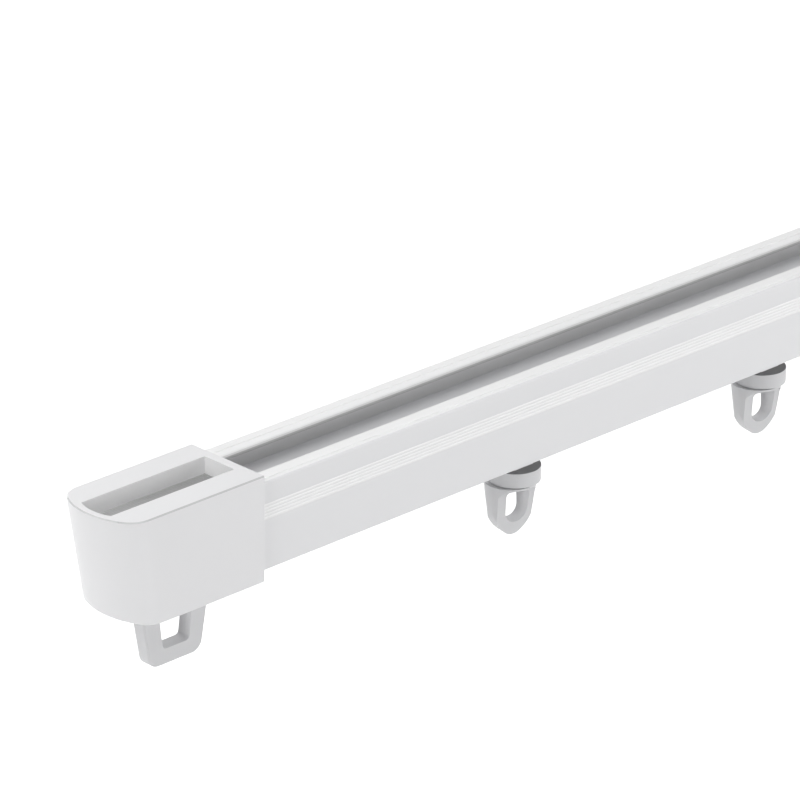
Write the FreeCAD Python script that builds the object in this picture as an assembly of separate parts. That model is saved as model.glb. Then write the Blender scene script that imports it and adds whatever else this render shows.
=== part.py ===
import FreeCAD, Part
import math
import os

os.makedirs("parts", exist_ok=True)

V = FreeCAD.Vector

# Track profile. The origin is on the track's top plane, at mid length and mid width; X runs along the track
visible_length = 358.0  # from one cap's mouth to the other
sleeve_depth = 20.0  # how far each end of the profile goes into its cap
track_width = 18.0
track_height = 17.35
side_wall = 1.2
channel_depth = 5.35  # clip channel, from the top plane down to the web
web_thickness = 1.2
mouth_width = 9.0  # between the upper lips
lip_thickness = 1.0
lip_round = 0.8  # inner top edge of each upper lip
slot_width = 6.0  # between the rails
rail_thickness = 1.2  # lower lips, which the wheels roll on
corner_round = 0.3
rib_inset = 1.2  # from the side of the track to the rib on its lip
rib_width = 1.2
rib_height = 0.18
band_drop = 4.3  # from the top plane to the ridged band
band_height = 3.15
band_grooves = 5
groove_depth = 0.15

# End caps. A sleeve with a curved nose that leans back towards its foot, and a pocket in its top
cap_side = 0.63  # thickness of the sleeve's sides
cap_above = 1.77  # cap's top face above the track's top plane
cap_below = 1.85  # cap's underside below the track's underside
cap_fit = 0.1  # gap all round between the cap and the profile
nose_reach = 33.56  # from the mouth to the tip of the nose, at the top
nose_radius = 15.2
nose_corner = 4.8
nose_lean = 9.8  # degrees
nose_wall = 2.0
cap_edge_bevel = 0.25
pocket_width = 7.8
pocket_depth = 3.39
pocket_front = 1.97  # web between the mouth and the pocket
pocket_reach = 32.1
pocket_end_radius = 10.0
trough_side = 0.5
trough_wall = 1.2  # below and in front of the pocket

# End eyes. A flat drafted ring hung from a headed tongue through the cap's floor
end_eye_inset = 14.04  # from the mouth to the ring's centre line
end_eye_thickness = 3.1
end_eye_drop = 13.72  # from the cap's underside to the foot of the ring
end_eye_half_width = 8.5  # at the cap's underside
end_eye_draft = 10.0  # degrees
end_eye_bar = 3.17
end_eye_corner = 2.5
end_hole_top = 2.8  # below the cap's underside
end_hole_half_width = 4.1  # at its top
end_hole_draft = 7.0
end_hole_corner = 0.9
end_eye_edge_bevel = 0.3
tongue_half_width = 8.0
tongue_fit = 0.1
head_thickness = 1.0
head_side_gap = 0.2  # between the head and the rails

# Gliders. A carriage on two wheels, with a neck and collar below the slot and an eye that swivels
glider_count = 4
glider_pitch = 70.0
wheel_width = 3.4
wheel_gap = 0.1  # between the tread and its rail
wheel_headroom = 1.1  # between the tread and the web
wheel_side_gap = 0.3
axle_radius = 1.0
axle_fit = 0.08  # in the carriage, where it turns
axle_press = 0.01  # in the wheels
carriage_length = 12.0
carriage_width = 6.8
carriage_gap = 0.3  # above the rails
carriage_headroom = 2.1  # below the web
carriage_bevel = 1.5
neck_side = 5.0  # square, so that it can't turn in the slot
collar_drop = 4.2  # from the track's underside to the collar's top
collar_radius = 5.14
collar_height = 3.02
eye_gap = 0.1  # seam between the collar and the eye
eye_turn = -12.0  # degrees: how far the eyes stand swivelled at rest
eye_radius = 5.1
eye_height = 11.0
eye_foot_height = 6.3  # rounded foot of the eye
eye_foot_half_width = 4.45
eye_low_arc = 2.7  # radius of the lowest arc of the foot, between two side arcs that touch it
eye_foot_radius = 3.8  # of the round sides, level with the eye's lowest point
eye_offset = 0.95  # ring's middle from the line of its pin
eye_face_half = 2.45  # half thickness between the scooped faces, level with the top of the hole
eye_face_draft = 8.0  # degrees
scoop_drop = 0.35  # from the eye's top to the top of each scoop
scoop_half_width = 4.4
scoop_corner = 2.7
hole_offset = 0.6  # hole's middle from the line of the pin
hole_drop = 1.6  # from the eye's top to the hole
hole_corner = 0.8
hole_draft = 3.0  # degrees
hole_foot_radius = 2.45
hole_foot_drop = 5.85  # from the eye's top to the middle of the hole's foot
pin_radius = 1.5
pin_fit = 0.1
pin_hook_reach = 2.1  # from the pin's middle to the tip of the hook on each leg
pin_hook_width = 1.6
pin_hook_height = 1.2
pin_hook_fit = 0.15  # between the hooks, as they turn, and the pocket round them
pin_slit = 0.7
pin_slit_depth = 4.0
pin_seat_height = 1.0  # from the carriage's foot to the seat of the pin's hooks

# Levels and places that follow from the sizes above
profile_length = visible_length + 2 * sleeve_depth
half_width = track_width / 2
inner_half = half_width - side_wall
web_foot = -channel_depth - web_thickness
rail_top = -track_height + rail_thickness
runner_height = web_foot - rail_top
wheel_radius = (runner_height - wheel_gap - wheel_headroom) / 2
carriage_height = runner_height - carriage_gap - carriage_headroom
cap_floor = -track_height - cap_fit
cap_foot = -track_height - cap_below
axle_level = rail_top + wheel_gap + wheel_radius
carriage_foot = rail_top + carriage_gap
collar_top = -track_height - collar_drop
collar_foot = collar_top - collar_height
eye_top = collar_foot - eye_gap
pin_seat = carriage_foot + pin_seat_height
hook_foot = pin_seat + pin_fit
pin_top = hook_foot + pin_hook_height
wheel_inner = carriage_width / 2 + wheel_side_gap
wheel_outer = wheel_inner + wheel_width


def box(x0, x1, y0, y1, z0, z1):
    return Part.makeBox(x1 - x0, y1 - y0, z1 - z0, V(x0, y0, z0))


def long_edges(solid, places):
    """Edges along X that lie at one of the given (y, z) places."""
    found = []
    for edge in solid.Edges:
        a, b = edge.Vertexes[0].Point, edge.Vertexes[-1].Point
        for y, z in places:
            if all(math.hypot(p.y - y, p.z - z) < 1e-4 for p in (a, b)):
                found.append(edge)
    return found


def edges_across(solid, level):
    """Edges along Y that lie at a level."""
    found = [e for e in solid.Edges if all(abs(v.Z - level) < 1e-6 for v in e.Vertexes)]
    return [e for e in found if abs(e.Vertexes[0].Y - e.Vertexes[-1].Y) > 1e-6]


def flat_rim(solid, direction, offset):
    """Edges round each flat face that lies square to a direction, at an offset along it."""
    found = []
    for face in solid.Faces:
        if all(abs(v.Point.dot(direction) - offset) < 1e-6 for v in face.Vertexes):
            found += face.Edges
    return found


def band_groove(side, level):
    """V groove along one side of the track."""
    half = band_height / band_grooves / 2
    face = side * half_width
    start = -profile_length / 2
    corners = [
        V(start, face, level + half),
        V(start, face - side * groove_depth, level),
        V(start, face, level - half),
    ]
    wire = Part.makePolygon(corners + corners[:1])
    return Part.Face(wire).extrude(V(profile_length, 0, 0))


def track_profile():
    """H section: clip channel with two lips above the web, runner channel with two rails below it."""
    x0, x1 = -profile_length / 2, profile_length / 2
    bar = box(x0, x1, -half_width, half_width, -track_height, 0)
    web_top = -channel_depth
    hollows = [
        box(x0, x1, -inner_half, inner_half, web_top, -lip_thickness),
        box(x0, x1, -mouth_width / 2, mouth_width / 2, web_top, 0),
        box(x0, x1, -inner_half, inner_half, rail_top, web_foot),
        box(x0, x1, -slot_width / 2, slot_width / 2, -track_height, web_foot),
    ]
    track = bar.cut(hollows)
    outer = [(s * half_width, z) for s in (-1, 1) for z in (0, -track_height)]
    track = track.makeFillet(corner_round, long_edges(track, outer))
    lips = [(s * mouth_width / 2, 0) for s in (-1, 1)]
    track = track.makeFillet(lip_round, long_edges(track, lips))
    ribs, grooves = [], []
    for side in (-1, 1):
        near, far = sorted(side * (half_width - rib_inset - w) for w in (0, rib_width))
        ribs.append(box(x0, x1, near, far, -lip_thickness / 2, rib_height))
        for number in range(band_grooves):
            level = -band_drop - band_height * (number + 0.5) / band_grooves
            grooves.append(band_groove(side, level))
    return track.fuse(ribs).cut(grooves).removeSplitter()


def nose_face(half, corner, radius, reach, front, level):
    """Outline of the cap at one level: two sides, a shallow arc for the nose and two corner arcs."""
    drift = (cap_above - level) * math.tan(math.radians(nose_lean))
    tip = drift - reach
    centre = tip + radius
    corner_x = centre - math.sqrt((radius - corner) ** 2 - (half - corner) ** 2)
    turn = math.atan2(half - corner, centre - corner_x)

    def at(x, y):
        return V(x, y, level)

    def on_nose(angle):
        return at(centre - radius * math.cos(angle), radius * math.sin(angle))

    def on_corner(side, angle):
        y = half - corner + corner * math.sin(angle)
        return at(corner_x - corner * math.cos(angle), side * y)

    edges = [Part.makeLine(at(front, -half), on_corner(-1, math.pi / 2))]
    middle = (turn + math.pi / 2) / 2
    if corner:
        arc = Part.Arc(on_corner(-1, math.pi / 2), on_corner(-1, middle), on_nose(-turn))
        edges.append(arc.toShape())
    edges.append(Part.Arc(on_nose(-turn), at(tip, 0), on_nose(turn)).toShape())
    if corner:
        arc = Part.Arc(on_nose(turn), on_corner(1, middle), on_corner(1, math.pi / 2))
        edges.append(arc.toShape())
    edges.append(Part.makeLine(on_corner(1, math.pi / 2), at(front, half)))
    edges.append(Part.makeLine(at(front, half), at(front, -half)))
    return Part.Face(Part.Wire(edges))


def leaning(face, height):
    """Prism below a level face that leans back with the nose."""
    return face.extrude(V(height * math.tan(math.radians(nose_lean)), 0, -height))


def cap_body():
    height = cap_above - cap_foot
    half = half_width + cap_fit + cap_side
    overrun = 1.0
    face = nose_face(half, nose_corner, nose_radius, nose_reach, overrun, cap_above)
    cut_off = box(0, 2 * (overrun + height), -2 * half, 2 * half, cap_foot - 1, cap_above + 1)
    body = leaning(face, height).cut(cut_off)
    up = V(0, 0, 1)
    rims = flat_rim(body, up, cap_above) + flat_rim(body, up, cap_foot)
    rims = [e for e in rims if any(v.X < -1e-6 for v in e.Vertexes)]
    return body.makeChamfer(cap_edge_bevel, rims)


def cap_pocket():
    """Pocket in the cap's top, with a square front wall and an end that follows the nose."""
    face = nose_face(pocket_width / 2, 0, pocket_end_radius, pocket_reach, 0, cap_above)
    reach = box(-2 * nose_reach, -pocket_front, -half_width, half_width, -track_height, cap_above + 1)
    return leaning(face, pocket_depth).common(reach)


def cap_sleeve():
    """Space for the profile, around the trough that drops between its lips."""
    half = half_width + cap_fit
    top = rib_height + cap_fit
    sleeve = box(-sleeve_depth, 0, -half, half, cap_floor, top)
    trough_half = pocket_width / 2 + trough_side
    trough_foot = cap_above - pocket_depth - trough_wall
    front = -pocket_front + trough_wall
    trough = box(-sleeve_depth, front, -trough_half, trough_half, trough_foot, top)
    return sleeve.cut(trough)


def cap_core():
    """Hollow behind the profile's end, narrower than the profile so that its shoulders stop it."""
    top = cap_above - pocket_depth - trough_wall
    half = half_width - nose_wall
    inner = nose_face(
        half, nose_corner - nose_wall, nose_radius - nose_wall, nose_reach - nose_wall, 0, top
    )
    behind = box(-2 * nose_reach, -sleeve_depth, -half, half, cap_floor, top)
    return leaning(inner, top - cap_floor).common(behind)


def end_cap():
    """Cap in its own place: mouth at X = 0, nose towards -X."""
    slot = box(
        -end_eye_inset - tongue_half_width - tongue_fit,
        -end_eye_inset + tongue_half_width + tongue_fit,
        -end_eye_thickness / 2 - tongue_fit,
        end_eye_thickness / 2 + tongue_fit,
        cap_foot - 1,
        cap_floor + 1,
    )
    return cap_body().cut([cap_pocket(), cap_sleeve(), cap_core(), slot])


def drafted_plate(top, foot, half, draft, corner):
    """Plate in the XZ plane that narrows downwards, with rounded lower corners."""
    foot_half = half - (top - foot) * math.tan(math.radians(draft))
    y = -end_eye_thickness / 2
    corners = [V(-half, y, top), V(half, y, top), V(foot_half, y, foot), V(-foot_half, y, foot)]
    plate = Part.Face(Part.makePolygon(corners + corners[:1])).extrude(V(0, end_eye_thickness, 0))
    return plate.makeFillet(corner, edges_across(plate, foot))


def end_eye():
    """Ring, tongue and head in one moulding, centred on X = 0."""
    ring_top = cap_foot - tongue_fit
    foot = cap_foot - end_eye_drop
    ring = drafted_plate(ring_top, foot, end_eye_half_width, end_eye_draft, end_eye_corner)
    half = end_eye_thickness / 2
    across = V(0, 1, 0)
    rims = flat_rim(ring, across, half) + flat_rim(ring, across, -half)
    rims = [e for e in rims if any(v.Z < ring_top - 1e-6 for v in e.Vertexes)]
    hole = drafted_plate(
        cap_foot - end_hole_top, foot + end_eye_bar, end_hole_half_width, end_hole_draft, end_hole_corner
    )
    ring = ring.makeChamfer(end_eye_edge_bevel, rims).cut(hole)
    head_foot = cap_floor + tongue_fit
    tongue = box(-tongue_half_width, tongue_half_width, -half, half, ring_top - 0.5, head_foot)
    head_half = slot_width / 2 - head_side_gap
    head = box(
        -tongue_half_width, tongue_half_width, -head_half, head_half, head_foot, head_foot + head_thickness
    )
    return ring.fuse([tongue, head]).removeSplitter()


def upright(radius, z0, z1):
    return Part.makeCylinder(radius, z1 - z0, V(0, 0, z0))


def cross_pin(radius, y0, y1):
    """Cylinder along Y on the axle's centre line."""
    return Part.makeCylinder(radius, y1 - y0, V(0, y0, axle_level), V(0, 1, 0))


def carriage():
    """Block between the wheels, neck through the slot and collar below it, in one moulding."""
    half = carriage_length / 2
    wide = carriage_width / 2
    top = carriage_foot + carriage_height
    block = box(-half, half, -wide, wide, carriage_foot, top)
    corners = [e for e in block.Edges if abs(e.Vertexes[0].Z - e.Vertexes[-1].Z) > 1]
    block = block.makeChamfer(carriage_bevel, corners)
    beside = neck_side / 2
    neck = box(
        -beside, beside, -beside, beside,
        collar_top - collar_height / 2, carriage_foot + carriage_height / 2
    )
    collar = upright(collar_radius, collar_foot, collar_top)
    body = block.fuse([neck, collar])
    bore = upright(pin_radius + pin_fit, collar_foot - 1, top + 1)
    pocket_half = math.hypot(pin_hook_reach, pin_hook_width / 2) + pin_hook_fit
    pocket = box(-pocket_half, pocket_half, -pocket_half, pocket_half, pin_seat, top + 1)
    cross = cross_pin(axle_radius + axle_fit, -wide - 1, wide + 1)
    return body.cut([bore, pocket, cross]).removeSplitter()


def wheel(side):
    """Plain roller pressed onto the axle."""
    inner, outer = sorted((side * wheel_inner, side * wheel_outer))
    return cross_pin(wheel_radius, inner, outer).cut(cross_pin(axle_radius + axle_press, inner, outer))


def eye_blank():
    """Round like the collar at the top, seen from the front as a U with sides that lean in."""
    foot = eye_top - eye_height
    shoulder = foot + eye_foot_height
    above_low = eye_foot_height - eye_low_arc
    side_arc = (eye_foot_half_width ** 2 + above_low ** 2 - eye_low_arc ** 2) / 2
    side_arc /= eye_foot_half_width - eye_low_arc
    turn = math.atan2(above_low, side_arc - eye_foot_half_width)

    def on_side(side, angle):
        x = eye_foot_half_width - side_arc + side_arc * math.cos(angle)
        return V(side * x, 0, shoulder - side_arc * math.sin(angle))

    edges = [Part.makeLine(V(eye_radius, 0, eye_top), V(-eye_radius, 0, eye_top))]
    edges.append(Part.Arc(on_side(-1, turn), V(0, 0, foot), on_side(1, turn)).toShape())
    for side in (-1, 1):
        edges.append(Part.makeLine(V(side * eye_radius, 0, eye_top), on_side(side, 0)))
        arc = Part.Arc(on_side(side, 0), on_side(side, turn / 2), on_side(side, turn))
        edges.append(arc.toShape())
    outline = Part.Face(Part.Wire(Part.__sortEdges__(edges)))
    outline.translate(V(0, -eye_radius, 0))
    round_body = Part.makeCone(eye_foot_radius, eye_radius, eye_height, V(0, 0, foot))
    return outline.extrude(V(0, 2 * eye_radius, 0)).common(round_body)


def eye_scoop(side):
    """Cutter for the front or back face: round upper corners, open below, leaning in towards the foot."""
    reach = 2 * eye_radius
    foot = eye_top - 2 * eye_height
    arch_top = eye_top - scoop_drop
    near, far = sorted((0, side * reach))
    arch = box(-scoop_half_width, scoop_half_width, near, far, foot, arch_top)
    arch = arch.makeFillet(scoop_corner, edges_across(arch, arch_top))
    ahead = box(-reach, reach, near, far, foot, eye_top + eye_height)
    ahead.translate(V(0, side * eye_face_half, 0))
    hinge = V(0, side * eye_face_half, eye_top - hole_drop)
    ahead.rotate(hinge, V(1, 0, 0), -side * eye_face_draft)
    return arch.common(ahead)


def hook_hole():
    """Cutter for the hole: level top with round corners, sides that lean in and a round foot."""
    top = eye_top - hole_drop
    middle = eye_top - hole_foot_drop
    lean = math.radians(hole_draft)
    touch_x = hole_foot_radius * math.cos(lean)
    touch_z = middle - hole_foot_radius * math.sin(lean)
    top_x = touch_x + (top - touch_z) * math.tan(lean)
    y = -2 * eye_radius
    corners = [V(touch_x, y, touch_z), V(top_x, y, top), V(-top_x, y, top), V(-touch_x, y, touch_z)]
    arc = Part.Arc(corners[-1], V(0, y, middle - hole_foot_radius), corners[0]).toShape()
    outline = Part.Face(Part.Wire(Part.makePolygon(corners).Edges + [arc]))
    hole = outline.extrude(V(0, 4 * eye_radius, 0))
    hole = hole.makeFillet(hole_corner, edges_across(hole, top))
    hole.translate(V(-hole_offset, 0, 0))
    return hole


def pin_hook(side):
    """Wedge on one leg of the split pin. It springs in on the way up and snaps out over its seat."""
    half = pin_hook_width / 2
    inner = math.sqrt(pin_radius ** 2 - half ** 2) - pin_fit
    corners = [
        V(0, -half, hook_foot),
        V(side * pin_hook_reach, -half, hook_foot),
        V(side * inner, -half, pin_top),
        V(0, -half, pin_top),
    ]
    return Part.Face(Part.makePolygon(corners + corners[:1])).extrude(V(0, pin_hook_width, 0))


def eye():
    """Ring below a split pin, whose two hooks rest on the seat inside the carriage."""
    ring = eye_blank().cut([eye_scoop(-1), eye_scoop(1)])
    ring.translate(V(-eye_offset, 0, 0))
    pin = upright(pin_radius, eye_top - 0.5, pin_top)
    slit = box(
        -pin_slit / 2, pin_slit / 2, -2 * pin_radius, 2 * pin_radius, pin_top - pin_slit_depth, pin_top + 1
    )
    whole = ring.cut(hook_hole()).fuse([pin, pin_hook(-1), pin_hook(1)]).cut(slit).removeSplitter()
    whole.rotate(V(0, 0, 0), V(0, 0, 1), eye_turn)
    return whole


def glider_pieces():
    """Pieces of one glider, with its neck on the Z axis."""
    return {
        "carriage": carriage(),
        "axle": cross_pin(axle_radius, -wheel_outer, wheel_outer),
        "wheel_front": wheel(-1),
        "wheel_back": wheel(1),
        "eye": eye(),
    }


def placed(shape, x, turned=False):
    """Copy of a shape moved along the track, turned end for end where asked."""
    copy = shape.copy()
    if turned:
        copy.rotate(V(0, 0, 0), V(0, 0, 1), 180)
    copy.translate(V(x, 0, 0))
    return copy


def assembly():
    pieces = {"track_profile": track_profile()}
    cap, ring = end_cap(), end_eye()
    mouth = visible_length / 2
    pieces["end_cap_left"] = placed(cap, -mouth)
    pieces["end_cap_right"] = placed(cap, mouth, True)
    pieces["end_eye_left"] = placed(ring, -mouth - end_eye_inset)
    pieces["end_eye_right"] = placed(ring, mouth + end_eye_inset, True)
    glider = glider_pieces()
    first = -glider_pitch * (glider_count - 1) / 2
    for number in range(glider_count):
        for name, shape in glider.items():
            x = first + number * glider_pitch
            pieces[f"glider_{number + 1}_{name}"] = placed(shape, x)
    return pieces


for node, shape in assembly().items():
    shape.exportStep(f"parts/{node}.step")
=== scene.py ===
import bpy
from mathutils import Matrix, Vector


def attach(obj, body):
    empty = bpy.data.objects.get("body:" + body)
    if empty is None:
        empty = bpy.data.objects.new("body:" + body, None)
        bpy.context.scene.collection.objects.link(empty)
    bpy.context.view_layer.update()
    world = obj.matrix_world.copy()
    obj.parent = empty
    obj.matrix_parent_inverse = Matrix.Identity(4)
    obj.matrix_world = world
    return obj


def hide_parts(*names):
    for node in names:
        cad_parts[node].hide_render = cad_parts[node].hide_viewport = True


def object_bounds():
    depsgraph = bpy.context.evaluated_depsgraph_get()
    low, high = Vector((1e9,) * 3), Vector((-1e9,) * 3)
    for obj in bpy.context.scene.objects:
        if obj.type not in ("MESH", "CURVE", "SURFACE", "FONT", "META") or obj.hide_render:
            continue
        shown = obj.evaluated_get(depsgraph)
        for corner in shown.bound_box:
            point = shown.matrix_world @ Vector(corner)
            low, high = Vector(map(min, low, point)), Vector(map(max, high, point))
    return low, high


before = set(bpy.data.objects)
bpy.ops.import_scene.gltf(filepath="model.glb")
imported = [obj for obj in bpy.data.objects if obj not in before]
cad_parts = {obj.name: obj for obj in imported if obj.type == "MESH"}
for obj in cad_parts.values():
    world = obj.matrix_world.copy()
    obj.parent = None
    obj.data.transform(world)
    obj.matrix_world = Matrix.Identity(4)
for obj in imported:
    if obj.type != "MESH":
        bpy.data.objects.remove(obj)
cad_box = [list(corner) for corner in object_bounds()]

import bpy
import bmesh
import math
from mathutils import Euler, Vector

MM = 0.001

# Track profile
# A thin-walled aluminium H section, extruded, cut to length and powder-coated white. The clip
# channel is open above the web and the gliders run in the channel below it. The powder coat is
# satin with a fine orange peel over faint die lines, with a painted highlight on the lips' tops
# and painted shade inside the channel.
COAT_WHITE = (0.846, 0.848, 0.860)
COAT_SHADE = (0.831, 0.833, 0.846)
COAT_ROUGHNESS = 0.42
# Painted highlight: the lips' tops and the ridged band are painted lighter than the sides.
PAINTED_HIGHLIGHT_WHITE = (0.95, 0.95, 0.952)
PAINTED_HIGHLIGHT_SHADE = (0.94, 0.941, 0.944)
PAINTED_HIGHLIGHT_ROUGHNESS = 0.34
# Painted shade: the channel's walls and the lips' inner edges are painted darker, the inner edges
# most.
CHANNEL_PAINTED_SHADE_WHITE = (0.77, 0.77, 0.77)
CHANNEL_PAINTED_SHADE_GREY = (0.74, 0.74, 0.74)
INNER_EDGE_PAINTED_SHADE_WHITE = (0.47, 0.47, 0.472)
INNER_EDGE_PAINTED_SHADE_GREY = (0.44, 0.44, 0.443)
PAINTED_SHADE_ROUGHNESS = 0.5
ROUGHNESS_SWING = 0.04  # up and down, over one surface
PEEL_SIZE = 0.55 * MM
PEEL_DEPTH = 0.012 * MM
DIE_LINE_PITCH = 0.7 * MM
DIE_LINE_SHARE = 0.35  # of the coat's relief, the rest being orange peel
GRAIN_DETAIL = 3.0
LINE_DETAIL = 2.0
CLOUDS_PER_METRE = 90.0
CLOUD_DETAIL = 2.0

TRACK_SIDE = 9.0 * MM  # from the middle plane to the outside
LIP_TOP_FOOT = -0.25 * MM  # the lips' tops lie above this level
LIP_OUTER_ROUND = 0.3 * MM
LIP_EDGE = 4.5 * MM  # from the middle plane to the lips' inner edges
LIP_ROUND = 0.9 * MM
CHANNEL_SIDE = 7.8 * MM
CHANNEL_FLOOR = -5.3 * MM
ZONE_SLACK = 0.1 * MM
UPRIGHT_RISE = 0.8  # a face is upright where its normal rises or falls by less than this
UPRIGHT_OUT = 0.5  # and points sideways by more than this
LIP_CURVE_RISE = 0.45
TRACK_EDGE_ROUND = 0.06 * MM
TRACK_SHARP_ANGLE = 35  # degrees: a sharper turn than this is an edge that gets rounded

WELD_WITHIN = 0.002 * MM
FLAT_WITHIN = 0.5  # degrees: triangles that turn less than this make one flat face
CREASE_FROM = 11  # degrees: shallower turns are the facets of a curve
EDGE_SEGMENTS = 2
LARGE_FACES_LEAD = 100


def group_input(tree, name, kind, value):
    socket = tree.interface.new_socket(name=name, in_out="INPUT", socket_type=kind)
    socket.default_value = value


def node_of(tree, kind, **settings):
    node = tree.nodes.new(kind)
    for name, value in settings.items():
        setattr(node, name, value)
    return node


def fine_surface_group():
    """Grain shared by every coated and moulded finish: height for a bump, and a mask that wanders."""
    tree = bpy.data.node_groups.new("fine_surface", "ShaderNodeTree")
    group_input(tree, "Grain Size", "NodeSocketFloat", PEEL_SIZE)
    group_input(tree, "Line Pitch", "NodeSocketFloat", DIE_LINE_PITCH)
    group_input(tree, "Line Share", "NodeSocketFloat", 0.0)
    tree.interface.new_socket(name="Height", in_out="OUTPUT", socket_type="NodeSocketFloat")
    tree.interface.new_socket(name="Cloud", in_out="OUTPUT", socket_type="NodeSocketFloat")
    entry = node_of(tree, "NodeGroupInput")
    leave = node_of(tree, "NodeGroupOutput")
    place = node_of(tree, "ShaderNodeTexCoord")

    grain_scale = node_of(tree, "ShaderNodeMath", operation="DIVIDE")
    grain_scale.inputs[0].default_value = 1.0
    tree.links.new(entry.outputs["Grain Size"], grain_scale.inputs[1])
    grain = node_of(tree, "ShaderNodeTexNoise")
    grain.inputs["Detail"].default_value = GRAIN_DETAIL
    tree.links.new(place.outputs["Object"], grain.inputs["Vector"])
    tree.links.new(grain_scale.outputs[0], grain.inputs["Scale"])

    across = node_of(tree, "ShaderNodeMapping", vector_type="POINT")
    across.inputs["Scale"].default_value = (0.0, 1.0, 1.0)
    tree.links.new(place.outputs["Object"], across.inputs["Vector"])
    line_scale = node_of(tree, "ShaderNodeMath", operation="DIVIDE")
    line_scale.inputs[0].default_value = 1.0
    tree.links.new(entry.outputs["Line Pitch"], line_scale.inputs[1])
    lines = node_of(tree, "ShaderNodeTexNoise")
    lines.inputs["Detail"].default_value = LINE_DETAIL
    tree.links.new(across.outputs["Vector"], lines.inputs["Vector"])
    tree.links.new(line_scale.outputs[0], lines.inputs["Scale"])

    relief = node_of(tree, "ShaderNodeMix", data_type="FLOAT")
    tree.links.new(entry.outputs["Line Share"], relief.inputs["Factor"])
    tree.links.new(grain.outputs["Fac"], relief.inputs["A"])
    tree.links.new(lines.outputs["Fac"], relief.inputs["B"])
    tree.links.new(relief.outputs["Result"], leave.inputs["Height"])

    cloud = node_of(tree, "ShaderNodeTexNoise")
    cloud.inputs["Scale"].default_value = CLOUDS_PER_METRE
    cloud.inputs["Detail"].default_value = CLOUD_DETAIL
    tree.links.new(place.outputs["Object"], cloud.inputs["Vector"])
    tree.links.new(cloud.outputs["Fac"], leave.inputs["Cloud"])
    return tree


fine_surface = fine_surface_group()


def fine_finish(name, light, dark, roughness, grain, depth, line_share=0.0, metallic=0.0):
    """Finish in two near shades, with roughness and height from the shared grain."""
    material = bpy.data.materials.new(name)
    material.use_nodes = True
    tree = material.node_tree
    shader = tree.nodes["Principled BSDF"]
    surface = node_of(tree, "ShaderNodeGroup", node_tree=fine_surface)
    surface.inputs["Grain Size"].default_value = grain
    surface.inputs["Line Share"].default_value = line_share
    colour = node_of(tree, "ShaderNodeMix", data_type="RGBA")
    colour.inputs["A"].default_value = (*dark, 1.0)
    colour.inputs["B"].default_value = (*light, 1.0)
    tree.links.new(surface.outputs["Cloud"], colour.inputs["Factor"])
    tree.links.new(colour.outputs["Result"], shader.inputs["Base Color"])
    rough = node_of(tree, "ShaderNodeMapRange")
    rough.inputs["To Min"].default_value = roughness - ROUGHNESS_SWING
    rough.inputs["To Max"].default_value = roughness + ROUGHNESS_SWING
    tree.links.new(surface.outputs["Cloud"], rough.inputs["Value"])
    tree.links.new(rough.outputs["Result"], shader.inputs["Roughness"])
    bump = node_of(tree, "ShaderNodeBump")
    bump.inputs["Distance"].default_value = depth
    tree.links.new(surface.outputs["Height"], bump.inputs["Height"])
    tree.links.new(bump.outputs["Normal"], shader.inputs["Normal"])
    shader.inputs["Metallic"].default_value = metallic
    return material


def powder_coat(name, light, dark, roughness):
    return fine_finish(
        name, light, dark, roughness, PEEL_SIZE, PEEL_DEPTH, line_share=DIE_LINE_SHARE
    )


def plain_mesh(piece):
    """Leaves the piece with the mesh that its modifiers make, and no modifier."""
    bpy.context.view_layer.update()
    graph = bpy.context.evaluated_depsgraph_get()
    baked = bpy.data.meshes.new_from_object(piece.evaluated_get(graph))
    piece.modifiers.clear()
    piece.data = baked


def softened_copy(node, piece_name, edge_round, sharp_angle, zone=None):
    """Copy of a CAD node with smooth curves and rounded hard edges, which stands for the node."""
    mesh = bpy.data.meshes.new(piece_name)
    form = bmesh.new()
    form.from_mesh(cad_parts[node].data)
    bmesh.ops.remove_doubles(form, verts=form.verts, dist=WELD_WITHIN)
    bmesh.ops.dissolve_limit(
        form, angle_limit=math.radians(FLAT_WITHIN), use_dissolve_boundaries=False,
        verts=form.verts, edges=form.edges
    )
    for face in form.faces:
        face.smooth = True
        face.material_index = zone(face) if zone else 0
    for edge in form.edges:
        turn = edge.calc_face_angle(0.0)
        edge.smooth = not math.radians(CREASE_FROM) < turn < math.radians(sharp_angle)
    form.to_mesh(mesh)
    form.free()
    piece = bpy.data.objects.new(piece_name, mesh)
    bpy.context.scene.collection.objects.link(piece)
    bevel = piece.modifiers.new("edge_round", "BEVEL")
    bevel.width = edge_round
    bevel.segments = EDGE_SEGMENTS
    bevel.limit_method = "ANGLE"
    bevel.angle_limit = math.radians(sharp_angle)
    bevel.use_clamp_overlap = True
    flats = piece.modifiers.new("flat_faces", "WEIGHTED_NORMAL")
    flats.weight = LARGE_FACES_LEAD
    flats.keep_sharp = True
    plain_mesh(piece)
    return piece


def dress(piece, node, body, materials):
    """Gives a softened copy its finishes and its body, and hides the CAD node that it stands for."""
    for material in materials:
        piece.data.materials.append(material)
    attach(piece, body)
    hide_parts(node)


def track_zone(face):
    """1 for the lips' tops, in a painted highlight; 2 and 3 for painted shade on the lips' inner edges
    and the channel's walls, 3 the deepest; 0 elsewhere.
    """
    y, level = face.calc_center_median().yz
    rise = abs(face.normal.z)
    sideways = rise < UPRIGHT_RISE and abs(face.normal.y) > UPRIGHT_OUT
    upright = sideways and level > CHANNEL_FLOOR
    if upright and abs(y) < LIP_EDGE + LIP_ROUND:
        return 2 if rise > LIP_CURVE_RISE else 3
    if upright and level < -LIP_ROUND and abs(y) < CHANNEL_SIDE + ZONE_SLACK:
        return 2
    return int(level > LIP_TOP_FOOT and abs(y) < TRACK_SIDE - LIP_OUTER_ROUND)


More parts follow.
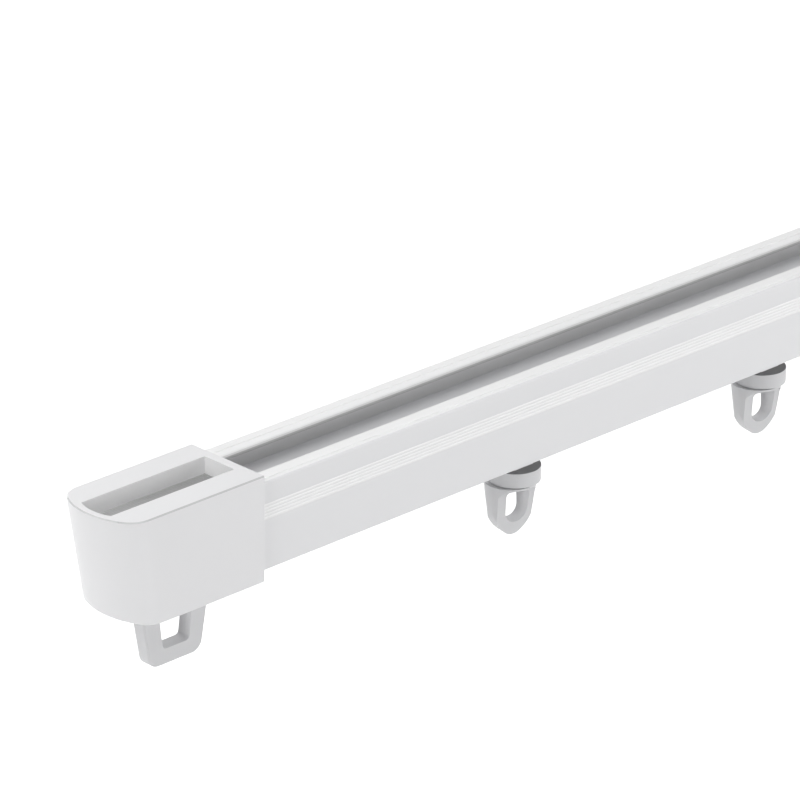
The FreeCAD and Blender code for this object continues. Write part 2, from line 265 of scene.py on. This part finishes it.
side_coat = powder_coat("white_powder_coat", COAT_WHITE, COAT_SHADE, COAT_ROUGHNESS)
lip_painted_highlight = powder_coat("white_powder_coat_lips", PAINTED_HIGHLIGHT_WHITE, PAINTED_HIGHLIGHT_SHADE, PAINTED_HIGHLIGHT_ROUGHNESS)
channel_painted_shade = powder_coat("thin_powder_coat", CHANNEL_PAINTED_SHADE_WHITE, CHANNEL_PAINTED_SHADE_GREY, PAINTED_SHADE_ROUGHNESS)
inner_edge_painted_shade = powder_coat("thinnest_powder_coat", INNER_EDGE_PAINTED_SHADE_WHITE, INNER_EDGE_PAINTED_SHADE_GREY, PAINTED_SHADE_ROUGHNESS)
track = softened_copy(
    "track_profile", "track_extrusion", TRACK_EDGE_ROUND, TRACK_SHARP_ANGLE, track_zone
)
track_coats = [side_coat, lip_painted_highlight, channel_painted_shade, inner_edge_painted_shade]
dress(track, "track_profile", "track", track_coats)

# Ridged band
# Five flutes along each side, side by side, drawn by the same die as the rest of the extrusion.
# They carry the lips' painted highlight, so the band looks lighter than the flat side.
CAP_MOUTH = 179.0 * MM  # from the middle of the track to where each cap begins
BAND_TOP = -4.3 * MM
FLUTE_COUNT = 5
FLUTE_HEIGHT = 0.63 * MM
FLUTE_PROUD = 0.04 * MM
FLUTE_SUNK = 0.05 * MM
BEAD_SIDES = 14


def bead_row_tree():
    """Rods along X, each with an oval section, set out side by side in a row by a step."""
    tree = bpy.data.node_groups.new("bead_row", "GeometryNodeTree")
    group_input(tree, "Length", "NodeSocketFloat", 2 * CAP_MOUTH)
    group_input(tree, "Count", "NodeSocketInt", FLUTE_COUNT)
    group_input(tree, "First", "NodeSocketVector", (0.0, TRACK_SIDE, BAND_TOP))
    group_input(tree, "Step", "NodeSocketVector", (0.0, 0.0, -FLUTE_HEIGHT))
    group_input(tree, "Half Depth", "NodeSocketFloat", FLUTE_PROUD)
    group_input(tree, "Half Rise", "NodeSocketFloat", FLUTE_HEIGHT / 2)
    tree.interface.new_socket(name="Finish", in_out="INPUT", socket_type="NodeSocketMaterial")
    tree.interface.new_socket(name="Geometry", in_out="OUTPUT", socket_type="NodeSocketGeometry")
    entry = node_of(tree, "NodeGroupInput")
    leave = node_of(tree, "NodeGroupOutput")

    path = node_of(tree, "GeometryNodeCurvePrimitiveLine")
    for end, share in (("Start", -0.5), ("End", 0.5)):
        reach = node_of(tree, "ShaderNodeMath", operation="MULTIPLY")
        reach.inputs[1].default_value = share
        tree.links.new(entry.outputs["Length"], reach.inputs[0])
        point = node_of(tree, "ShaderNodeCombineXYZ")
        tree.links.new(reach.outputs[0], point.inputs["X"])
        tree.links.new(point.outputs[0], path.inputs[end])

    ring = node_of(tree, "GeometryNodeCurvePrimitiveCircle")
    ring.inputs["Resolution"].default_value = BEAD_SIDES
    ring.inputs["Radius"].default_value = 1.0
    oval = node_of(tree, "ShaderNodeCombineXYZ")
    oval.inputs["Z"].default_value = 1.0
    tree.links.new(entry.outputs["Half Depth"], oval.inputs["X"])
    tree.links.new(entry.outputs["Half Rise"], oval.inputs["Y"])
    section = node_of(tree, "GeometryNodeTransform")
    tree.links.new(ring.outputs["Curve"], section.inputs["Geometry"])
    tree.links.new(oval.outputs[0], section.inputs["Scale"])
    rod = node_of(tree, "GeometryNodeCurveToMesh")
    rod.inputs["Fill Caps"].default_value = True
    tree.links.new(path.outputs["Curve"], rod.inputs["Curve"])
    tree.links.new(section.outputs["Geometry"], rod.inputs["Profile Curve"])

    row = node_of(tree, "GeometryNodeMeshLine")
    tree.links.new(entry.outputs["Count"], row.inputs["Count"])
    tree.links.new(entry.outputs["First"], row.inputs["Start Location"])
    tree.links.new(entry.outputs["Step"], row.inputs["Offset"])
    beads = node_of(tree, "GeometryNodeInstanceOnPoints")
    tree.links.new(row.outputs["Mesh"], beads.inputs["Points"])
    tree.links.new(rod.outputs["Mesh"], beads.inputs["Instance"])
    joined = node_of(tree, "GeometryNodeRealizeInstances")
    tree.links.new(beads.outputs["Instances"], joined.inputs["Geometry"])
    finish = node_of(tree, "GeometryNodeSetMaterial")
    tree.links.new(joined.outputs["Geometry"], finish.inputs["Geometry"])
    tree.links.new(entry.outputs["Finish"], finish.inputs["Material"])
    tree.links.new(finish.outputs["Geometry"], leave.inputs["Geometry"])
    return tree


bead_row = bead_row_tree()


def bead_piece(name, body, slot, **inputs):
    """One piece made by the bead row with the given inputs, as a plain mesh that rides on a body."""
    piece = bpy.data.objects.new(name, bpy.data.meshes.new(name))
    bpy.context.scene.collection.objects.link(piece)
    rods = piece.modifiers.new("bead_row", "NODES")
    rods.node_group = bead_row
    for item in bead_row.interface.items_tree:
        key = item.name.replace(" ", "_").lower()
        if item.in_out == "INPUT" and key in inputs:
            rods[item.identifier] = inputs[key]
    plain_mesh(piece)
    for polygon in piece.data.polygons:
        polygon.use_smooth = len(polygon.vertices) == 4
    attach(piece, body)


for name, side in (("front", -1), ("back", 1)):
    bead_piece(
        f"ridged_band_{name}", "track", "white_powder_coat",
        length=2 * CAP_MOUTH, count=FLUTE_COUNT, finish=lip_painted_highlight,
        first=(0.0, side * (TRACK_SIDE - FLUTE_SUNK), BAND_TOP - FLUTE_HEIGHT / 2),
        step=(0.0, 0.0, -FLUTE_HEIGHT),
        half_depth=FLUTE_SUNK + FLUTE_PROUD, half_rise=FLUTE_HEIGHT / 2
    )

# End caps
# Injection-moulded white plastic sleeves pushed over each end of the track. The nose leans back
# towards its foot. The pocket in the top has walls in painted light and a finely ribbed floor in
# painted shade, darker near the track. A thin dark line of painted shade runs round the top edge,
# on its chamfer.
CAP_WHITE = (0.853, 0.853, 0.864)
CAP_SHADE = (0.838, 0.838, 0.850)
# Painted shade: a dark line painted on the chamfer round the cap's top.
TOP_EDGE_PAINTED_SHADE_WHITE = (0.62, 0.62, 0.625)
TOP_EDGE_PAINTED_SHADE_GREY = (0.58, 0.58, 0.585)
# Painted shade: the pocket's floor is painted darker, and darker still towards the track.
POCKET_PAINTED_SHADE_LIGHT = (0.56, 0.56, 0.562)
POCKET_PAINTED_SHADE_DEEP = (0.36, 0.36, 0.361)
# Painted light: the pocket's walls are painted lighter than the rest of the cap.
POCKET_WALL_PAINTED_LIGHT_WHITE = (0.94, 0.94, 0.942)
POCKET_WALL_PAINTED_LIGHT_GREY = (0.92, 0.92, 0.922)
CAP_ROUGHNESS = 0.3
MOULD_GRAIN = 0.3 * MM
MOULD_DEPTH = 0.004 * MM
CAP_EDGE_ROUND = 0.06 * MM
CAP_SHARP_ANGLE = 50
CAP_TOP = 1.77 * MM
CAP_CHAMFER = 0.25 * MM
POCKET_FLOOR = -1.62 * MM
POCKET_HALF = 4.0 * MM
LEVEL_SLACK = 0.01 * MM
FLOOR_RISE = 0.9  # how far a face's normal rises on the pocket's floor, its walls and the chamfer
WALL_RISE = 0.1
CHAMFER_RISE = (0.2, 0.97)
RIB_COUNT = 14
RIB_STEP = 0.52 * MM
RIB_LENGTH = 28.0 * MM
RIB_MIDDLE = 16.3 * MM  # from the cap's mouth
RIB_RISE = 0.07 * MM
RIB_SHARE = 0.3  # half width of a rib, of the step


def moulded_plastic(name, light, dark, roughness):
    return fine_finish(name, light, dark, roughness, MOULD_GRAIN, MOULD_DEPTH)


def painted_shade_towards_mouth(material, near, far):
    """Grades a finish from its dark shade by the cap's mouth to its light one towards the nose:
    painted shade, deepest near the track.
    """
    tree = material.node_tree
    place = node_of(tree, "ShaderNodeTexCoord")
    axes = node_of(tree, "ShaderNodeSeparateXYZ")
    from_middle = node_of(tree, "ShaderNodeMath", operation="ABSOLUTE")
    share = node_of(tree, "ShaderNodeMapRange")
    share.inputs["From Min"].default_value = near
    share.inputs["From Max"].default_value = far
    colour = next(node for node in tree.nodes if node.type == "MIX")
    tree.links.new(place.outputs["Object"], axes.inputs["Vector"])
    tree.links.new(axes.outputs["X"], from_middle.inputs[0])
    tree.links.new(from_middle.outputs[0], share.inputs["Value"])
    tree.links.new(share.outputs["Result"], colour.inputs["Factor"])


def cap_zone(face):
    """1 for the chamfer round the cap's top, in painted shade; 2 for the pocket's floor, in painted
    shade, and 3 for its walls, in painted light; 0 elsewhere.
    """
    x, y, level = face.calc_center_median()
    rise = face.normal.z
    if abs(level - POCKET_FLOOR) < LEVEL_SLACK and rise > FLOOR_RISE:
        return 2
    in_pocket = level > POCKET_FLOOR and abs(y) < POCKET_HALF and abs(x) > CAP_MOUTH
    if in_pocket and abs(rise) < WALL_RISE:
        return 3
    sloping = CHAMFER_RISE[0] < rise < CHAMFER_RISE[1]
    return int(CAP_TOP - CAP_CHAMFER < level < CAP_TOP and sloping)


cap_plastic = moulded_plastic("white_cap_plastic", CAP_WHITE, CAP_SHADE, CAP_ROUGHNESS)
top_edge_painted_shade = moulded_plastic("cap_witness_line", TOP_EDGE_PAINTED_SHADE_WHITE, TOP_EDGE_PAINTED_SHADE_GREY, CAP_ROUGHNESS)
pocket_floor_painted_shade = moulded_plastic("cap_pocket_floor", POCKET_PAINTED_SHADE_LIGHT, POCKET_PAINTED_SHADE_DEEP, CAP_ROUGHNESS)
rib_near = CAP_MOUTH + RIB_MIDDLE - RIB_LENGTH / 2
rib_far = CAP_MOUTH + RIB_MIDDLE + RIB_LENGTH / 2
painted_shade_towards_mouth(pocket_floor_painted_shade, rib_near, rib_far)
pocket_wall_painted_light = moulded_plastic("cap_pocket_wall", POCKET_WALL_PAINTED_LIGHT_WHITE, POCKET_WALL_PAINTED_LIGHT_GREY, CAP_ROUGHNESS)
cap_finishes = [cap_plastic, top_edge_painted_shade, pocket_floor_painted_shade, pocket_wall_painted_light]
for name, side in (("left", -1), ("right", 1)):
    cap = softened_copy(
        f"end_cap_{name}", f"moulded_cap_{name}", CAP_EDGE_ROUND, CAP_SHARP_ANGLE, cap_zone
    )
    dress(cap, f"end_cap_{name}", "track", cap_finishes)
    bead_piece(
        f"pocket_ribs_{name}", "track", "white_cap_plastic",
        length=RIB_LENGTH, count=RIB_COUNT, finish=pocket_floor_painted_shade,
        first=(side * (CAP_MOUTH + RIB_MIDDLE), -RIB_STEP * (RIB_COUNT - 1) / 2, POCKET_FLOOR),
        step=(0.0, RIB_STEP, 0.0), half_depth=RIB_STEP * RIB_SHARE, half_rise=RIB_RISE
    )

# End eyes
# Flat drafted rings moulded in the same white plastic, one under each cap, held by a headed
# tongue through the cap's floor. The curtain's last hook goes through them.
# Painted shade: the eyes and the gliders are painted greyer than the caps, though of the same white
# plastic.
EYE_PAINTED_SHADE_WHITE = (0.72, 0.721, 0.733)
EYE_PAINTED_SHADE_GREY = (0.70, 0.701, 0.714)
EYE_ROUGHNESS = 0.45
END_EYE_ROUND = 0.16 * MM
END_EYE_SHARP_ANGLE = 25

eye_plastic_painted_shade = moulded_plastic("white_eye_plastic", EYE_PAINTED_SHADE_WHITE, EYE_PAINTED_SHADE_GREY, EYE_ROUGHNESS)
for name in ("left", "right"):
    end_eye = softened_copy(
        f"end_eye_{name}", f"moulded_end_eye_{name}", END_EYE_ROUND, END_EYE_SHARP_ANGLE
    )
    dress(end_eye, f"end_eye_{name}", "track", [eye_plastic_painted_shade])

# Gliders
# Each has a moulded carriage between two nylon wheels on a steel axle, a neck down through the
# slot with a collar below it, and an eye that swivels on a pin snapped up into the carriage.
NYLON_WHITE = (0.80, 0.80, 0.77)
NYLON_SHADE = (0.77, 0.77, 0.735)
NYLON_ROUGHNESS = 0.55
STEEL_LIGHT = (0.62, 0.63, 0.65)
STEEL_DARK = (0.55, 0.56, 0.58)
STEEL_ROUGHNESS = 0.3
DRAWN_LINE_SHARE = 0.5
# Painted shade: the collar's top is painted dark grey, for the shade under the track.
COLLAR_PAINTED_SHADE_GREY = (0.26, 0.26, 0.262)
COLLAR_PAINTED_SHADE_DARKER = (0.23, 0.23, 0.233)
COLLAR_TOP_ROUGHNESS = 0.7
COLLAR_TOP = -21.55 * MM
COLLAR_EDGE_ROUND = 0.1 * MM
HOOK_EYE_ROUND = 0.45 * MM
HOOK_EYE_SHARP_ANGLE = 22
WHEEL_EDGE_ROUND = 0.25 * MM
ROUND_SHARP_ANGLE = 40  # for the carriages, wheels and axles

glider_plastic_painted_shade = moulded_plastic("white_glider_plastic", EYE_PAINTED_SHADE_WHITE, EYE_PAINTED_SHADE_GREY, EYE_ROUGHNESS)
wheel_nylon = moulded_plastic("wheel_nylon", NYLON_WHITE, NYLON_SHADE, NYLON_ROUGHNESS)
axle_steel = fine_finish(
    "steel", STEEL_LIGHT, STEEL_DARK, STEEL_ROUGHNESS, MOULD_GRAIN, MOULD_DEPTH,
    line_share=DRAWN_LINE_SHARE, metallic=1.0
)
collar_top_painted_shade = moulded_plastic("rubbed_glider_plastic", COLLAR_PAINTED_SHADE_GREY, COLLAR_PAINTED_SHADE_DARKER, COLLAR_TOP_ROUGHNESS)


def collar_zone(face):
    """1 for the collar's top, painted dark grey as painted shade under the track, and 0 elsewhere."""
    return int(abs(face.calc_center_median().z - COLLAR_TOP) < LEVEL_SLACK)


glider_names = sorted(
    node.removesuffix("_carriage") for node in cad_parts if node.endswith("_carriage")
)
for glider in glider_names:
    carriage = softened_copy(
        f"{glider}_carriage", f"{glider}_moulded_carriage",
        COLLAR_EDGE_ROUND, ROUND_SHARP_ANGLE, collar_zone
    )
    carriage_finishes = [glider_plastic_painted_shade, collar_top_painted_shade]
    dress(carriage, f"{glider}_carriage", glider, carriage_finishes)
    hook_eye = softened_copy(
        f"{glider}_eye", f"{glider}_hook_eye", HOOK_EYE_ROUND, HOOK_EYE_SHARP_ANGLE
    )
    dress(hook_eye, f"{glider}_eye", f"{glider}_eye", [eye_plastic_painted_shade])
    for part in ("wheel_front", "wheel_back"):
        wheel = softened_copy(
            f"{glider}_{part}", f"{glider}_{part}_roller", WHEEL_EDGE_ROUND, ROUND_SHARP_ANGLE
        )
        dress(wheel, f"{glider}_{part}", f"{glider}_wheels", [wheel_nylon])
    axle = softened_copy(
        f"{glider}_axle", f"{glider}_axle_rod", WHEEL_EDGE_ROUND, ROUND_SHARP_ANGLE
    )
    dress(axle, f"{glider}_axle", f"{glider}_wheels", [axle_steel])

# Studio
# Pale floor well below the hanging track, a surround that the camera and mirror rays see as white,
# and nine soft lamps: three behind the track, three in front, two on the left and one above.
FLOOR_DROP = 0.22  # metres, as are the lamps' places and sizes
FLOOR_HALF = 3.0
FLOOR_GREY = (0.7, 0.7, 0.7, 1.0)
FLOOR_ROUGHNESS = 0.9
FLOOR_LIFT = 0.75
SURROUND_TINT = (0.99, 0.995, 1.0, 1.0)
SURROUND_LIGHT = 0.02
PURE_WHITE = (1.0, 1.0, 1.0, 1.0)
LAMP_AIM = (-0.16, 0.0, -0.01)


def seen_rays(tree, strength):
    """Socket that gives the strength to camera, mirror and transmission rays, and 0 to the rest."""
    path = node_of(tree, "ShaderNodeLightPath")
    seen = node_of(tree, "ShaderNodeMath", operation="MAXIMUM")
    either = node_of(tree, "ShaderNodeMath", operation="MAXIMUM")
    scaled = node_of(tree, "ShaderNodeMath", operation="MULTIPLY")
    tree.links.new(path.outputs["Is Camera Ray"], seen.inputs[0])
    tree.links.new(path.outputs["Is Glossy Ray"], seen.inputs[1])
    tree.links.new(seen.outputs[0], either.inputs[0])
    tree.links.new(path.outputs["Is Transmission Ray"], either.inputs[1])
    tree.links.new(either.outputs[0], scaled.inputs[0])
    scaled.inputs[1].default_value = strength
    return scaled.outputs[0]


floor_level = cad_box[0][2] - FLOOR_DROP
floor_corners = [
    (x * FLOOR_HALF, y * FLOOR_HALF, floor_level) for x, y in ((-1, -1), (1, -1), (1, 1), (-1, 1))
]
floor_mesh = bpy.data.meshes.new("studio_floor")
floor_mesh.from_pydata(floor_corners, [], [(0, 1, 2, 3)])
floor = bpy.data.objects.new("studio_floor", floor_mesh)
bpy.context.scene.collection.objects.link(floor)
floor_paint = bpy.data.materials.new("studio_floor")
floor_paint.use_nodes = True
floor_tree = floor_paint.node_tree
floor_shader = floor_tree.nodes["Principled BSDF"]
floor_shader.inputs["Base Color"].default_value = FLOOR_GREY
floor_shader.inputs["Roughness"].default_value = FLOOR_ROUGHNESS
floor_shader.inputs["Emission Color"].default_value = PURE_WHITE
floor_tree.links.new(seen_rays(floor_tree, FLOOR_LIFT), floor_shader.inputs["Emission Strength"])
floor_mesh.materials.append(floor_paint)

world = bpy.data.worlds.new("studio_surround")
bpy.context.scene.world = world
world.use_nodes = True
world_tree = world.node_tree
surround = world_tree.nodes["Background"]
surround.inputs["Color"].default_value = SURROUND_TINT
surround.inputs["Strength"].default_value = SURROUND_LIGHT
backdrop = node_of(world_tree, "ShaderNodeBackground")
backdrop.inputs["Color"].default_value = PURE_WHITE
world_mix = node_of(world_tree, "ShaderNodeMixShader")
world_tree.links.new(seen_rays(world_tree, 1.0), world_mix.inputs["Fac"])
world_tree.links.new(surround.outputs[0], world_mix.inputs[1])
world_tree.links.new(backdrop.outputs[0], world_mix.inputs[2])
world_tree.links.new(world_mix.outputs[0], world_tree.nodes["World Output"].inputs["Surface"])


def area_lamp(name, place, size, watts):
    light = bpy.data.lights.new(name, "AREA")
    light.shape = "DISK"
    light.size = size
    light.energy = watts
    lamp = bpy.data.objects.new(name, light)
    bpy.context.scene.collection.objects.link(lamp)
    lamp.location = place
    towards = Vector(LAMP_AIM) - Vector(place)
    lamp.rotation_euler = towards.to_track_quat("-Z", "Y").to_euler()


area_lamp("lamp_back_right", (0.35, 0.75, 0.9), size=0.7, watts=2.5)
area_lamp("lamp_back_left", (-0.75, 0.75, 0.9), size=0.7, watts=3.2)
area_lamp("lamp_back", (0.25, 1.28, 0.1), size=1.0, watts=5.0)
area_lamp("lamp_left", (-1.2, -0.2, 0.05), size=0.5, watts=3.9)
area_lamp("lamp_left_high", (-1.0, 0.0, 0.7), size=0.6, watts=2.5)
area_lamp("lamp_front", (0.5, -1.15, 0.0), size=1.0, watts=6.8)
area_lamp("lamp_front_right", (0.9, -0.8, 0.0), size=1.0, watts=3.8)
area_lamp("lamp_front_high", (-0.2, -0.6, 1.0), size=0.8, watts=3.3)
area_lamp("lamp_above", (-0.2, -0.1, 1.2), size=0.9, watts=3.0)

# Camera
# Solved from the photograph: a long lens from the front left, looking 23 degrees down on the
# track. The angles are in degrees, and the lens follows from the picture's width in pixels.
CAMERA_PLACE = (-0.737637, -0.609453, 0.370766)
CAMERA_YAW = -44.64
CAMERA_DIP = 23.37
CAMERA_ROLL = 0.664
CAMERA_NEAREST = 0.01
SENSOR_WIDTH = 36.0
FRAME_PIXELS = 800
FOCAL_PIXELS = 5055.84

camera_data = bpy.data.cameras.new("photo_camera")
camera_data.sensor_width = SENSOR_WIDTH
camera_data.lens = SENSOR_WIDTH * FOCAL_PIXELS / FRAME_PIXELS
camera_data.clip_start = CAMERA_NEAREST
camera = bpy.data.objects.new("photo_camera", camera_data)
bpy.context.scene.collection.objects.link(camera)
camera.location = CAMERA_PLACE
turn = Euler((math.radians(90 - CAMERA_DIP), 0.0, math.radians(CAMERA_YAW))).to_quaternion()
roll = Euler((0.0, 0.0, math.radians(CAMERA_ROLL))).to_quaternion()
camera.rotation_euler = (turn @ roll).to_euler()
bpy.context.scene.camera = camera
bpy.context.scene.view_settings.view_transform = "Standard"
